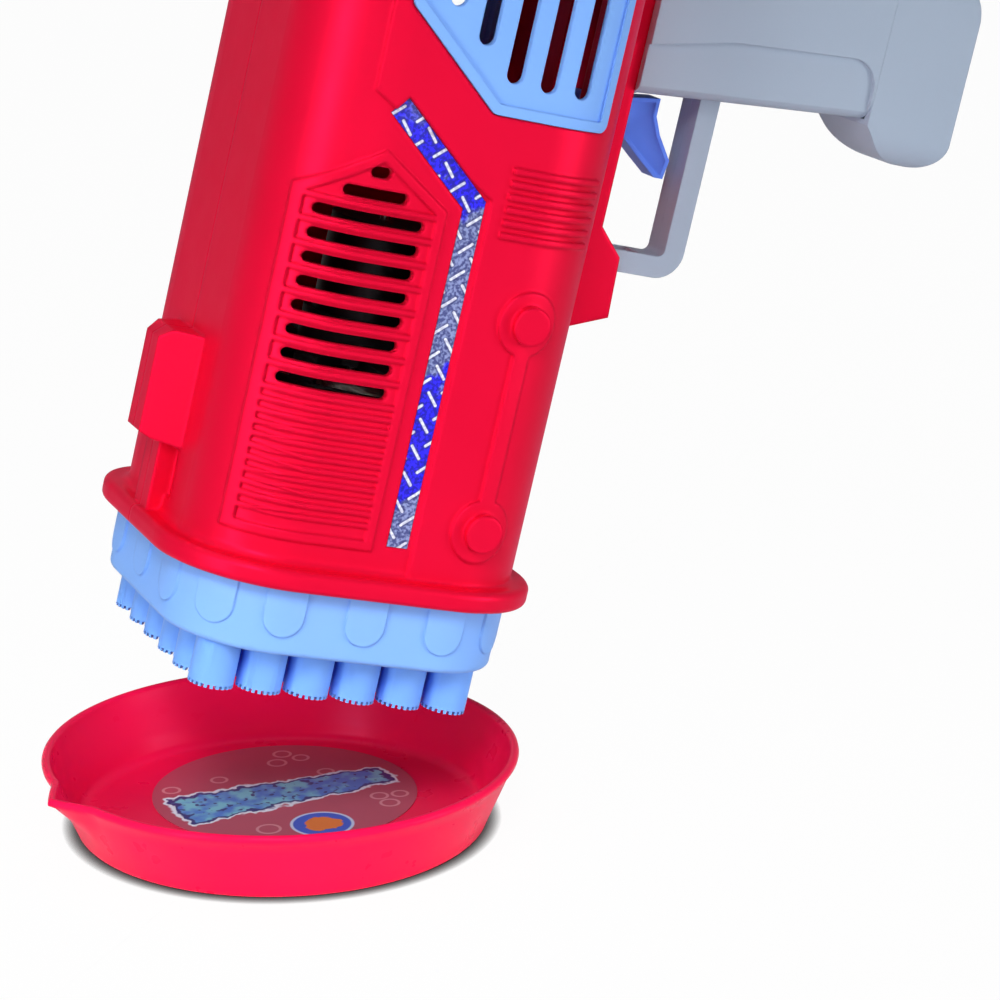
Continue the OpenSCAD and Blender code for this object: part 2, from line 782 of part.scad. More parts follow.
// Wound armature, as one plain drum with the shaft's bore
module motor_rotor() color("peru") held() {
    translate([0, 0, motor_z + 4]) difference() {
        cylinder(r = motor_r - 2.4, h = motor_len - 6);
        translate([0, 0, -cut]) cylinder(r = shaft_r + run_gap, h = motor_len);
    }
}

module motor_can() color("silver") held() {
    translate([0, 0, motor_z]) difference() {
        cylinder(r = motor_r, h = motor_len);
        translate([0, 0, 1.5]) cylinder(r = motor_r - 1.2, h = motor_len);
        translate([0, 0, -cut]) cylinder(r = shaft_r + run_gap, h = motor_len);
    }
}

module motor_end_cap() color("white") held() {
    translate([0, 0, motor_z + motor_len]) difference() {
        union() {
            cylinder(r = motor_r, h = end_cap_t);
            translate([0, 0, -1.5]) cylinder(r = motor_r - 1.2 - fit_gap, h = 2);
        }
        translate([0, 0, -2 * cut]) cylinder(r = shaft_r + run_gap, h = end_cap_t + 3 * cut);
    }
}

// Cross that carries the motor from the four walls of the barrel
module motor_bracket() color("white") held() {
    arm = 2 * (body_half - wall - fit_gap);
    difference() {
        translate([0, 0, bracket_z]) {
            cylinder(r = motor_r + 2, h = bracket_t);
            translate([-arm / 2, -4, 0]) cube([arm, 8, bracket_t]);
            translate([-4, -arm / 2, 0]) cube([8, arm, bracket_t]);
            // Sleeve round the front of the can, and legs that stand on the duct
            cylinder(r = motor_r + 2, h = bracket_t + 8);
            for (a = [45:90:315]) rotate([0, 0, a]) {
                translate([motor_r, -3, 0]) cube([duct_r + 1.8 - motor_r, 6, bracket_t]);
                translate([duct_r, -3, duct_z + duct_t + duct_len - bracket_z])
                    cube([1.8, 6, bracket_z + bracket_t - duct_z - duct_t - duct_len]);
            }
        }
        translate([0, 0, motor_z]) cylinder(r = motor_r + fit_gap, h = far);
        translate([0, 0, bracket_z - cut]) cylinder(r = shaft_r + 2, h = bracket_t + 2 * cut);
    }
}

// Side view of the grip with its flared butt: a line from the waist touches the flare
module grip_outline() {
    low = grip_z0 - lobe_out;
    lobe = [grip_x1 - lobe_r, low + lobe_r];
    flare = [grip_x1 - flare_back, low + flare_r];
    heel = [grip_x1 - heel_r, grip_z1 + lobe_out - heel_r];
    waist = [waist_x, grip_z0 + finger_dip];
    reach = norm(flare - waist);
    turn = atan2(flare[1] - waist[1], flare[0] - waist[0]) - asin(flare_r / reach);
    touch = waist + sqrt(reach * reach - flare_r * flare_r) * [cos(turn), sin(turn)];
    polygon([[keel_x, grip_z0], waist, touch, flare, [flare[0], low], [lobe[0], low], lobe,
             [grip_x1, lobe[1]], [grip_x1, heel[1]], heel, [heel[0], grip_z1 + lobe_out],
             [waist_x, grip_z1], [keel_x, grip_z1]]);
    translate(flare) difference() {
        circle(flare_r);
        translate([0, -flare_r]) square(2 * flare_r);
    }
    translate(lobe) circle(lobe_r);
    translate(heel) circle(heel_r);
}

function guard_x1() = keel_x + guard_out;
function guard_x0() = keel_x + lug_h - 3.5;
function guard_z0() = grip_z0 - guard_front;

// Guard's two bars with their round corner
module guard_outline() {
    inner = max(guard_corner - guard_t, 1);
    x1 = guard_x1();
    z0 = guard_z0();
    difference() {
        union() {
            translate([guard_x0(), z0]) square([x1 - guard_corner - guard_x0(), guard_corner]);
            translate([x1 - guard_corner, z0 + guard_corner])
                square([guard_corner, guard_front - guard_corner + 5]);
            translate([x1 - guard_corner, z0 + guard_corner]) circle(guard_corner);
        }
        translate([0, z0 + guard_t]) square([x1 - guard_t - inner, far]);
        translate([0, z0 + guard_t + inner]) square([x1 - guard_t, far]);
        translate([x1 - guard_t - inner, z0 + guard_t + inner]) circle(inner);
    }
}

// Bar along X with rounded edges, from z0 to z1
module rounded_bar(z0, z1, r) {
    h = grip_half;
    rotate([90, 0, 90]) linear_extrude(far) {
        translate([-h + r, z0]) square([2 * (h - r), z1 - z0]);
        translate([-h, z0 + r]) square([2 * h, z1 - z0 - 2 * r]);
        for (y = [-h + r, h - r], z = [z0 + r, z1 - r]) translate([y, z]) circle(r);
    }
}

// Recessed finger band along the handle's front, with a round end at the butt
module band_outline() {
    end = [band_x1 - band_r, grip_z0 + finger_dip + band_r + 0.8];
    polygon([[keel_x - cut, 0], [keel_x - cut, grip_z0 + 11.6], [keel_x + 21, grip_z0 + 16.1],
             [end[0], end[1] + band_r], [end[0], end[1]], [band_x1, end[1]], [band_x1, 0]]);
    translate(end) circle(band_r);
}

// Grip with its flared butt: soft edges that follow its front and its back
module grip_solid() {
    intersection() {
        along_y(-grip_half, grip_half) grip_outline();
        union() {
            intersection() {
                translate([keel_x, 0, grip_z0]) rotate([0, -grip_slant, 0]) translate([-far / 4, 0, 0])
                    rounded_bar(0, far, grip_round);
                rounded_bar(-far, grip_z1, grip_round);
                cube([2 * butt_x, far, 2 * far], center = true);
            }
            intersection() {
                rounded_bar(grip_z0 - lobe_out, grip_z1 + lobe_out, butt_round);
                translate([butt_x, -far, -far]) cube([far, 2 * far, 2 * far]);
            }
        }
    }
}

module handle_half(screw_side) {
    difference() {
        union() {
            difference() {
                union() {
                    intersection() {
                        grip_solid();
                        cube([2 * butt_x, 2 * far, 2 * far], center = true);
                    }
                    along_y(-guard_half, guard_half) guard_outline();
                    // Tongue in the keel's socket
                    translate([keel_x - 3.5, -tongue_half, tongue_z[0]])
                        cube([4.5, 2 * tongue_half, tongue_z[1] - tongue_z[0]]);
                }
                for (y = [-far - grip_half + band_depth, grip_half - band_depth])
                    along_y(y, y + far) band_outline();
                // Room at the root for the switch, and the battery bay
                translate([keel_x + 0.4, -root_half, grip_z0 + grip_wall])
                    cube([bay_x0 - grip_wall - keel_x - 0.4, 2 * root_half, grip_depth - 2 * grip_wall]);
                translate([bay_x0, -bay_half, bay_z0]) cube([far, 2 * bay_half, bay_z1 - bay_z0]);
                translate([keel_x - cut, -trigger_half - move_gap, 0])
                    cube([switch_x1 - keel_x + cut, 2 * (trigger_half + move_gap),
                          grip_z0 + grip_wall + cut]);
            }
            // Ribs that hold the switch, and the screw bosses
            for (y = [-grip_half + 1, switch_half + 0.1]) translate([switch_x0 + 2, y, switch_z + 1])
                cube([switch_x1 - switch_x0 - 4, grip_half - 1 - switch_half - 0.1, switch_h - 2]);
            for (p = handle_screw_at) translate([p[0], 0, p[1]]) rotate([90, 0, 0])
                cylinder(r = handle_boss_r, h = 2 * grip_half - 2, center = true);
        }
        translate([-far, 0, -far]) cube([2 * far, far, 2 * far]);
        for (p = handle_screw_at) translate([p[0], 0, p[1]]) rotate([90, 0, 0]) {
            translate([0, 0, -cut])
                cylinder(r = screw_r + run_gap, h = cut + (screw_side ? far : 0.6 * grip_half));
            if (screw_side) translate([0, 0, 0.5 * grip_half]) cylinder(r = screw_head_r + fit_gap, h = far);
        }
        if (screw_side) mirror([0, 1, 0]) door_screw_hole(screw_r + run_gap);
    }
}

// Hole of the butt's screw, which runs along the right-hand wall beside the cells
module door_screw_hole(r)
    translate([butt_x - 8, door_screw_y, door_screw_z]) rotate([0, 90, 0]) cylinder(r = r, h = far);

module handle_left() color(grey) held() handle_half(false);

module handle_right() color(grey) held() mirror([0, 1, 0]) handle_half(true);

// Flared butt, which closes the battery bay
module battery_cover() color(grey) held() {
    in = grip_half - grip_wall;
    difference() {
        union() {
            difference() {
                intersection() {
                    grip_solid();
                    translate([butt_x, -far, -far]) cube([far, 2 * far, 2 * far]);
                }
                translate([butt_x - cut, -in, bay_z0 - 2])
                    cube([butt_len + cut - grip_wall, 2 * in, bay_z1 - bay_z0 + 2]);
            }
            // Posts behind the rear contact
            for (z = cell_z) translate([bridge_x + contact_t, -2, z - 3])
                cube([grip_x1 - grip_wall - bridge_x, 4, 6]);
            intersection() {
                translate([butt_x, door_screw_y, door_screw_z]) rotate([0, 90, 0])
                    cylinder(r = door_boss_r, h = far);
                grip_solid();
            }
        }
        door_screw_hole(screw_r + run_gap);
        translate([grip_x1 - 7, door_screw_y, door_screw_z]) rotate([0, 90, 0])
            cylinder(r = screw_head_r + fit_gap, h = far);
    }
}

module battery_cover_screw() color("silver") held()
    screw_along([grip_x1 - 7, door_screw_y, door_screw_z], [0, 90, 0], grip_x1 - butt_x);

// Screw with its head at a point, turned from +Z, and its shank the other way
module screw_along(at, turn, len) {
    translate(at) rotate(turn) {
        difference() {
            cylinder(r = screw_head_r, h = screw_head_t);
            for (a = [0, 90]) rotate([0, 0, a])
                translate([-0.4, -1.6, screw_head_t - 0.8]) cube([0.8, 3.2, cut]);
        }
        translate([0, 0, -len]) cylinder(r = screw_r, h = len + 0.1);
    }
}

// Side view of the trigger, in shares of its reach from the keel and of its reach ahead of the handle
module trigger_outline() {
    shares = [[0.12, 0.537], [0.52, 0.81], [0.82, 1], [0.957, 1], [1, 0.763], [0.76, 0.474], [0.638, 0.253],
              [0.638, 0.032]];
    lever = [for (k = shares) [keel_x + k[0] * trigger_out, grip_z0 - k[1] * trigger_ahead]];
    polygon([[pivot_x, pivot_z - hub_r], each lever, [pivot_x, pivot_z + hub_r]]);
}

module trigger() color(blue) held() {
    difference() {
        union() {
            along_y(-trigger_half, trigger_half) trigger_outline();
            translate([pivot_x, 0, pivot_z]) rotate([90, 0, 0])
                cylinder(r = hub_r, h = 2 * (keel_half - wall - 0.3), center = true);
        }
        translate([pivot_x, 0, pivot_z]) rotate([90, 0, 0])
            cylinder(r = pin_r + run_gap, h = far, center = true);
    }
}

module trigger_pin() color("silver") held()
    translate([pivot_x, 0, pivot_z]) rotate([90, 0, 0])
        cylinder(r = pin_r, h = 2 * keel_half - wall - 2 * run_gap, center = true);

// Return spring, hidden between the trigger and the switch, as a plain sleeve
module trigger_spring() color("silver") held()
    translate([spring_x, 0, grip_z0 - 0.7]) difference() {
        cylinder(r = spring_r, h = switch_z - grip_z0 + 0.6);
        translate([0, 0, -cut]) cylinder(r = spring_r - 0.8, h = far);
    }

module switch_body() color("black") held() {
    difference() {
        translate([switch_x0, -switch_half, switch_z])
            cube([switch_x1 - switch_x0, 2 * switch_half, switch_h]);
        translate([plunger_x, 0, switch_z - cut]) cylinder(r = plunger_r + run_gap, h = switch_h - 1);
    }
}

module switch_plunger() color("white") held()
    translate([plunger_x, 0, plunger_z]) cylinder(r = plunger_r, h = plunger_len);

module cells() color("orange") held()
    for (i = [0, 1]) translate([keel_x + cell_x, 0, cell_z[i]]) rotate([0, 90, 0]) {
        cylinder(r = cell_r, h = cell_len - 1.5);
        translate([0, 0, cell_len - 1.6]) cylinder(r = 2.7, h = 1.6);
    }

module front_contacts() color("silver") held()
    for (z = cell_z) translate([bay_x0 + 0.1, -5, z - 5]) cube([contact_t, 10, 10]);

module rear_contact() color("silver") held()
    translate([bridge_x, -5, cell_z[0] - 5]) cube([contact_t, 10, cell_z[1] - cell_z[0] + 10]);

module body_screws() color("silver") held()
    for (x = [-boss_x, boss_x], z = boss_z)
        screw_along([x, screw_grip(), z], [-90, 0, 0], screw_grip() + screw_bite() - 1);

module handle_screws() color("silver") held()
    for (p = handle_screw_at) screw_along([p[0], 0.5 * grip_half, p[1]], [-90, 0, 0], 1.1 * grip_half - 1);

// Tray's section from its axis to the wall, shrunk for the inside, with a round foot
module tray_section(in) {
    r = in > 0 ? tray_fillet : 1;
    z0 = in > 0 ? tray_floor : 0;
    top = tray_h - tray_bead + (in > 0 ? 4 * tray_bead : 0);
    slope = (tray_rim_r - tray_base_r) / tray_h;
    foot = tray_base_r - in + z0 * slope;
    polygon([[0, z0], [foot - r, z0], [foot - r, z0 + r], [foot + r * slope, z0 + r],
             [tray_base_r - in + top * slope, top], [0, top]]);
    translate([foot - r + r * slope, z0 + r]) circle(r);
}

// Wall, floor and beaded rim
module tray_profile() {
    difference() {
        tray_section(0);
        tray_section(tray_wall);
    }
    translate([tray_rim_r - tray_bead, tray_h - tray_bead]) circle(tray_bead);
}

// Wedge of the spout: a beak in plan that runs out down the wall
module spout_wedge(in) {
    tip = tray_rim_r + spout_out - 2.4 * in;
    root = tray_base_r - 5;
    low = 0.4 * tray_h + in;
    top = in > 0 ? tray_h + cut : tray_h - 0.3;
    rotate([0, 0, spout_angle]) intersection() {
        linear_extrude(top)
            polygon([[root, -spout_half - 3 + in], [tip, -0.7], [tip, 0.7], [root, spout_half + 3 - in]]);
        along_y(-far, far)
            polygon([[root, low], [tray_base_r + 2.4 - in, low], [tip, tray_h - 1.8 + 0.6 * in],
                     [tip, top + cut], [root, top + cut]]);
    }
}

// Tray with its pour spout, wider at the rim
module tray() color("#e0183f") {
    difference() {
        union() {
            rotate_extrude() tray_profile();
            difference() {
                spout_wedge(0);
                rotate_extrude() tray_section(tray_wall);
            }
        }
        spout_wedge(tray_wall);
    }
}

module tray_label() color("#a82c3e") rotate([0, 0, label_turn]) translate([label_off, 0, tray_floor])
    cylinder(r = label_r, h = label_t);

body_shell_left();
body_shell_right();
grille_left();
grille_right();
strip_left();
strip_right();
nozzle_skirt();
tube_plate();
fan_duct();
impeller();
motor_shaft();
motor_rotor();
motor_can();
motor_end_cap();
motor_bracket();
handle_left();
handle_right();
trigger();
trigger_pin();
trigger_spring();
switch_body();
switch_plunger();
battery_cover();
battery_cover_screw();
cells();
front_contacts();
rear_contact();
body_screws();
handle_screws();
tray();
tray_label();
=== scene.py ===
"""Multi-hole bubble blower, held nose down over its dipping tray."""

import math

import bpy
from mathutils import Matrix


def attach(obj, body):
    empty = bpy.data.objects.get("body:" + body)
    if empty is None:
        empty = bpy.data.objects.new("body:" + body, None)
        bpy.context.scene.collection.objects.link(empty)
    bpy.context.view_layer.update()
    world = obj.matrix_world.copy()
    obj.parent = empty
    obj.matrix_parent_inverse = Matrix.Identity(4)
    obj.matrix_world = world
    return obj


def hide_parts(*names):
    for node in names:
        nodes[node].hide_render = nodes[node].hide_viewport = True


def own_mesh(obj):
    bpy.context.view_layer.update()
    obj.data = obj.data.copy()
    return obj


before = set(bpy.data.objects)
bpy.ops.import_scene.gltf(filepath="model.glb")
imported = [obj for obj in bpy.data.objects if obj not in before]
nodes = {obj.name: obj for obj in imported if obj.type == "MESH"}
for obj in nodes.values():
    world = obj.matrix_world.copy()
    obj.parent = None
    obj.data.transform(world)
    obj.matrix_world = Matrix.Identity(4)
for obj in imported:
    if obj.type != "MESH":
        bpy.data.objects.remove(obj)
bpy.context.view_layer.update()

# Studio. The blower hangs over its tray on a plain white table, seen from the front left and a little
# from above. A tall soft box on the left lights the barrel's near corner, and a closer one on the right
# lights the side, low down. One with a grid lights the tray, and two weaker ones fill.
scene = bpy.context.scene
scene.view_settings.view_transform = "Standard"
bpy.ops.object.select_all(action="DESELECT")
bpy.ops.object.camera_add(
    location=(-0.2323, -0.7010, 0.2982),
    rotation=(math.radians(73.42), 0, math.radians(-22.37)),
)
camera = bpy.context.object
camera.name = "camera"
camera.data.sensor_width = 36
camera.data.lens = 119.16
camera.data.clip_start = 0.01
scene.camera = camera


def soft_box(name, place, aim, size, watts, spread=180):
    """An area lamp turned to a point; a small spread stands for a grid on the box."""
    bpy.ops.object.light_add(type="AREA", location=place)
    lamp = bpy.context.object
    lamp.name = name
    lamp.data.shape = "RECTANGLE"
    lamp.data.size, lamp.data.size_y = size
    lamp.data.energy = watts
    lamp.data.spread = math.radians(spread)
    away = [a - b for a, b in zip(place, aim)]
    flat = math.hypot(away[0], away[1])
    lamp.rotation_euler = (math.atan2(flat, away[2]), 0, math.atan2(away[0], -away[1]))


soft_box("box_left", (-0.78, -0.42, 0.25), (0.03, 0, 0.16), (0.24, 0.8), 5)
soft_box("box_right", (0.6, -0.46, 0.12), (0.06, 0, 0.07), (0.3, 0.24), 0.43, spread=80)
soft_box("box_tray", (-0.25, -0.55, 0.55), (0.01, 0, 0.01), (0.25, 0.25), 0.17, spread=32)
soft_box("box_front", (-0.05, -0.7, 0.1), (0, 0, 0.02), (0.6, 0.16), 0.5)
soft_box("box_top", (-0.1, 0.1, 1.3), (0.03, 0, 0.1), (0.9, 0.9), 3)


def seen_directly(tree):
    """One for rays from the camera or through a clear piece, less for those that a gloss sends on."""
    path = tree.nodes.new("ShaderNodeLightPath")
    glossy = tree.nodes.new("ShaderNodeMath")
    glossy.operation = "MULTIPLY"
    glossy.inputs[1].default_value = 0.25
    tree.links.new(path.outputs["Is Glossy Ray"], glossy.inputs[0])
    clear = tree.nodes.new("ShaderNodeMath")
    clear.operation = "MAXIMUM"
    tree.links.new(path.outputs["Is Camera Ray"], clear.inputs[0])
    tree.links.new(path.outputs["Is Transmission Ray"], clear.inputs[1])
    seen = tree.nodes.new("ShaderNodeMath")
    seen.operation = "MAXIMUM"
    tree.links.new(glossy.outputs[0], seen.inputs[0])
    tree.links.new(clear.outputs[0], seen.inputs[1])
    return seen.outputs[0]


world = bpy.data.worlds.new("white_room")
scene.world = world
world.use_nodes = True
room = world.node_tree
room.nodes.clear()
dim = room.nodes.new("ShaderNodeBackground")
dim.inputs["Color"].default_value = (0.95, 0.97, 1, 1)
dim.inputs["Strength"].default_value = 0.14
white = room.nodes.new("ShaderNodeBackground")
white.inputs["Color"].default_value = (1, 1, 1, 1)
white.inputs["Strength"].default_value = 1
choose = room.nodes.new("ShaderNodeMixShader")
room.links.new(seen_directly(room), choose.inputs[0])
room.links.new(dim.outputs[0], choose.inputs[1])
room.links.new(white.outputs[0], choose.inputs[2])
room.links.new(choose.outputs[0], room.nodes.new("ShaderNodeOutputWorld").inputs["Surface"])

bpy.ops.object.select_all(action="DESELECT")
bpy.ops.mesh.primitive_plane_add(size=14, location=(0, 0, 0))
table = bpy.context.object
table.name = "table"
paper = bpy.data.materials.new("table_white")
paper.use_nodes = True
tree = paper.node_tree
tree.nodes.clear()
share = tree.nodes.new("ShaderNodeMath")
share.operation = "MULTIPLY"
share.inputs[1].default_value = 0.97
tree.links.new(seen_directly(tree), share.inputs[0])
matte = tree.nodes.new("ShaderNodeBsdfDiffuse")
matte.inputs["Color"].default_value = (0.9, 0.9, 0.9, 1)
# The floor seen directly glows white, with a painted contact shadow: ambient occlusion darkens the glow
# close under the tray.
near = tree.nodes.new("ShaderNodeAmbientOcclusion")
near.samples = 8
near.inputs["Distance"].default_value = 0.0035
painted_contact_shadow = tree.nodes.new("ShaderNodeMath")
painted_contact_shadow.operation = "POWER"
painted_contact_shadow.inputs[1].default_value = 2.5
tree.links.new(near.outputs["AO"], painted_contact_shadow.inputs[0])
floor_glow_with_painted_shadow = tree.nodes.new("ShaderNodeEmission")
tree.links.new(painted_contact_shadow.outputs[0], floor_glow_with_painted_shadow.inputs["Strength"])
mix = tree.nodes.new("ShaderNodeMixShader")
tree.links.new(share.outputs[0], mix.inputs[0])
tree.links.new(matte.outputs[0], mix.inputs[1])
tree.links.new(floor_glow_with_painted_shadow.outputs[0], mix.inputs[2])
tree.links.new(mix.outputs[0], tree.nodes.new("ShaderNodeOutputMaterial").inputs["Surface"])
table.data.materials.append(paper)

# Body shells. Two red half shells of moulded plastic, left and right, screwed together along the gun's
# top and bottom. Their flange, vent panels, link, ribs and sight are moulded on, with soft edges.
grain = bpy.data.node_groups.new("moulded_grain", "ShaderNodeTree")
grain.interface.new_socket("Vector", in_out="INPUT", socket_type="NodeSocketVector")
for name in ("Tone", "Gloss", "Height"):
    grain.interface.new_socket(name, in_out="OUTPUT", socket_type="NodeSocketFloat")
given = grain.nodes.new("NodeGroupInput")
result = grain.nodes.new("NodeGroupOutput")
for output, scale, detail in (("Tone", 22, 2), ("Gloss", 140, 3), ("Height", 1600, 2)):
    texture = grain.nodes.new("ShaderNodeTexNoise")
    texture.inputs["Scale"].default_value = scale
    texture.inputs["Detail"].default_value = detail
    grain.links.new(given.outputs["Vector"], texture.inputs["Vector"])
    grain.links.new(texture.outputs["Fac"], result.inputs[output])


def moulded_plastic(name, colour, shade, gleam, roughness, edge=0.0006, pearl=0):
    """Moulded plastic: a fine skin grain, slightly uneven tone and gloss, and softened edges."""
    material = bpy.data.materials.new(name)
    material.use_nodes = True
    tree = material.node_tree
    shader = tree.nodes["Principled BSDF"]
    shader.inputs["Specular IOR Level"].default_value = 0.12
    shader.inputs["Specular Tint"].default_value = (*gleam, 1)
    shader.inputs["Metallic"].default_value = pearl
    place = tree.nodes.new("ShaderNodeTexCoord")
    skin = tree.nodes.new("ShaderNodeGroup")
    skin.node_tree = grain
    tree.links.new(place.outputs["Object"], skin.inputs["Vector"])
    tint = tree.nodes.new("ShaderNodeMix")
    tint.data_type = "RGBA"
    tint.inputs["A"].default_value = (*colour, 1)
    tint.inputs["B"].default_value = (*shade, 1)
    tree.links.new(skin.outputs["Tone"], tint.inputs["Factor"])
    tree.links.new(tint.outputs["Result"], shader.inputs["Base Color"])
    gloss = tree.nodes.new("ShaderNodeMapRange")
    gloss.inputs["To Min"].default_value = roughness - 0.05
    gloss.inputs["To Max"].default_value = roughness + 0.07
    tree.links.new(skin.outputs["Gloss"], gloss.inputs["Value"])
    tree.links.new(gloss.outputs["Result"], shader.inputs["Roughness"])
    bump = tree.nodes.new("ShaderNodeBump")
    bump.inputs["Strength"].default_value = 0.04
    bump.inputs["Distance"].default_value = 0.0003
    tree.links.new(skin.outputs["Height"], bump.inputs["Height"])
    tree.links.new(bump.outputs["Normal"], shader.inputs["Normal"])
    if edge:
        soft = tree.nodes.new("ShaderNodeBevel")
        soft.samples = 6
        soft.inputs["Radius"].default_value = edge
        tree.links.new(soft.outputs["Normal"], bump.inputs["Normal"])
    return material


def finish_node(node, material):
    """Gives a solid that is shown as it is its material."""
    piece = nodes[node]
    piece.data.materials.clear()
    piece.data.materials.append(material)


body_red = moulded_plastic(
    "body_red", (0.82, 0.005, 0.04), (0.74, 0.003, 0.03), (1, 0.2, 0.8), 0.38, edge=0.0012, pearl=0.35
)
for node in ("body_shell_left", "body_shell_right"):
    finish_node(node, body_red)

# Grilles. Light-blue moulded inserts with slots for the fan's air, one in the rear of each side. A lip
# behind the shell holds each of them when the halves are screwed together.
nozzle_blue = moulded_plastic(
    "nozzle_blue", (0.24, 0.47, 0.97), (0.2, 0.42, 0.94), (0.6, 0.8, 1), 0.4
)
for node in ("grille_left", "grille_right"):
    finish_node(node, nozzle_blue)

# Tread-plate strips. Printed film with a self-adhesive back, laid in a channel of each shell. The print
# shows tread plate in silver and royal blue stretches, with bright bars set crosswise.
tread_print = bpy.data.materials.new("tread_print")
tread_print.use_nodes = True
tree = tread_print.node_tree
shader = tree.nodes["Principled BSDF"]
shader.inputs["Roughness"].default_value = 0.25
hold_place, hold_lean = (0.0084, 0, 0.0663), math.radians(13.9)
slant, tread_cell, bar_half_long = math.radians(40), 0.0044, 0.4
print_low, print_high = 0.012, 0.112


def maths(operation, *values):
    """One Math node of the print at hand; numbers are set and sockets are linked."""
    step = tree.nodes.new("ShaderNodeMath")
    step.operation = operation
    for socket, value in zip(step.inputs, values):
        if isinstance(value, (int, float)):
            socket.default_value = value
        else:
            tree.links.new(value, socket)
    return step.outputs[0]


def fade(value, start, end):
    """A smooth step from none at the start to full at the end."""
    step = tree.nodes.new("ShaderNodeMapRange")
    step.interpolation_type = "SMOOTHSTEP"
    step.inputs["From Min"].default_value = start
    step.inputs["From Max"].default_value = end
    tree.links.new(value, step.inputs["Value"])
    return step.outputs["Result"]


def layer(factor, under, over, blend="MIX"):
    """One colour of the print over another, by a factor."""
    step = tree.nodes.new("ShaderNodeMix")
    step.data_type = "RGBA"
    step.blend_type = blend
    for socket, value in zip(("Factor", "A", "B"), (factor, under, over)):
        if isinstance(value, (int, float, tuple)):
            step.inputs[socket].default_value = value
        else:
            tree.links.new(value, step.inputs[socket])
    return step.outputs["Result"]


def noise(scale, detail):
    """Noise over the piece of the print at hand."""
    step = tree.nodes.new("ShaderNodeTexNoise")
    step.inputs["Scale"].default_value = scale
    step.inputs["Detail"].default_value = detail
    tree.links.new(place.outputs["Object"], step.inputs["Vector"])
    return step.outputs["Fac"]


def upright_axes():
    """Coordinates along the gun's own axes: to the handle, away from the viewer and to the rear."""
    upright = tree.nodes.new("ShaderNodeMapping")
    upright.vector_type = "TEXTURE"
    upright.inputs["Location"].default_value = hold_place
    upright.inputs["Rotation"].default_value = (0, hold_lean, 0)
    tree.links.new(place.outputs["Object"], upright.inputs["Vector"])
    axes = tree.nodes.new("ShaderNodeSeparateXYZ")
    tree.links.new(upright.outputs["Vector"], axes.inputs["Vector"])
    return axes.outputs


place = tree.nodes.new("ShaderNodeTexCoord")
axes = upright_axes()
to_handle, to_rear = axes["X"], axes["Z"]
across = maths("ADD", maths("MULTIPLY", to_handle, math.cos(slant) / tread_cell),
               maths("MULTIPLY", to_rear, math.sin(slant) / tread_cell))
along = maths("SUBTRACT", maths("MULTIPLY", to_rear, math.cos(slant) / tread_cell),
              maths("MULTIPLY", to_handle, math.sin(slant) / tread_cell))
odd = maths("FLOORED_MODULO", maths("ADD", maths("FLOOR", across), maths("FLOOR", along)), 2)
in_across = maths("SUBTRACT", maths("FRACT", across), 0.5)
in_along = maths("SUBTRACT", maths("FRACT", along), 0.5)
bar_long = maths("MULTIPLY_ADD", odd, maths("SUBTRACT", in_across, in_along), in_along)
bar_wide = maths("MULTIPLY_ADD", odd, maths("SUBTRACT", in_along, in_across), in_across)
past_end = maths("MAXIMUM", maths("SUBTRACT", maths("ABSOLUTE", bar_long), bar_half_long), 0)
from_bar = maths("SQRT", maths("ADD", maths("MULTIPLY", past_end, past_end),
                               maths("MULTIPLY", bar_wide, bar_wide)))
bar = fade(from_bar, 0.095, 0.05)
shadow = fade(from_bar, 0.09, 0.24)
stretch = tree.nodes.new("ShaderNodeMapRange")
stretch.inputs["From Min"].default_value = print_low
stretch.inputs["From Max"].default_value = print_high
uneven = maths("MULTIPLY_ADD", noise(170, 2), 0.024, -0.012)
tree.links.new(maths("ADD", to_rear, uneven), stretch.inputs["Value"])
zones = tree.nodes.new("ShaderNodeValToRGB")
silver, royal = (0.14, 0.17, 0.42, 1), (0.012, 0.006, 0.74, 1)
zones.color_ramp.elements[0].color = silver
zones.color_ramp.elements[1].position = 0.11
zones.color_ramp.elements[1].color = silver
for position, colour in (
    (0.13, royal), (0.39, royal), (0.41, silver), (0.77, silver), (0.79, royal), (0.94, royal), (1, silver)
):
    zones.color_ramp.elements.new(position).color = colour
tree.links.new(stretch.outputs["Result"], zones.inputs["Fac"])
speckle = fade(noise(1300, 3), 0.4, 0.62)
mottle = layer(speckle, (0.4, 0.4, 0.55, 1), (1.8, 1.8, 1.4, 1))
ground = layer(1, zones.outputs["Color"], mottle, "MULTIPLY")
# A dark halo round each raised bar darkens the ground: painted shadow of the bar.
ground = layer(maths("MULTIPLY_ADD", shadow, -0.6, 0.6), ground, (0.02, 0.02, 0.12, 1))
worn_bar = maths("MULTIPLY", bar, maths("MULTIPLY_ADD", speckle, 0.35, 0.65))
tree.links.new(layer(worn_bar, ground, (0.8, 0.84, 1, 1)), shader.inputs["Base Color"])
film = tree.nodes.new("ShaderNodeBump")
film.inputs["Strength"].default_value = 0.25
film.inputs["Distance"].default_value = 0.0002
tree.links.new(bar, film.inputs["Height"])
tree.links.new(film.outputs["Normal"], shader.inputs["Normal"])
for node in ("strip_left", "strip_right"):
    finish_node(node, tread_print)

# Nozzle skirt. A light-blue moulded collar in front of the flange, with U-shaped tabs all round. It is of
# the same plastic as the grilles, and its inner ledge carries the tubes.
finish_node("nozzle_skirt", nozzle_blue)

# Tubes. A light-blue moulded plate of open tubes, pressed into the skirt against its ledge. The film of
# solution spans the notched rims. Where the tubes face each other their faces get a deeper blue: painted
# shade between the tubes.
tube_radius, tube_bore, tube_pitch = 0.0052, 0.0039, 0.0115
rim_seat, notch_deep, rim_steps, tube_rows = -0.0262, 0.0008, 92, 6


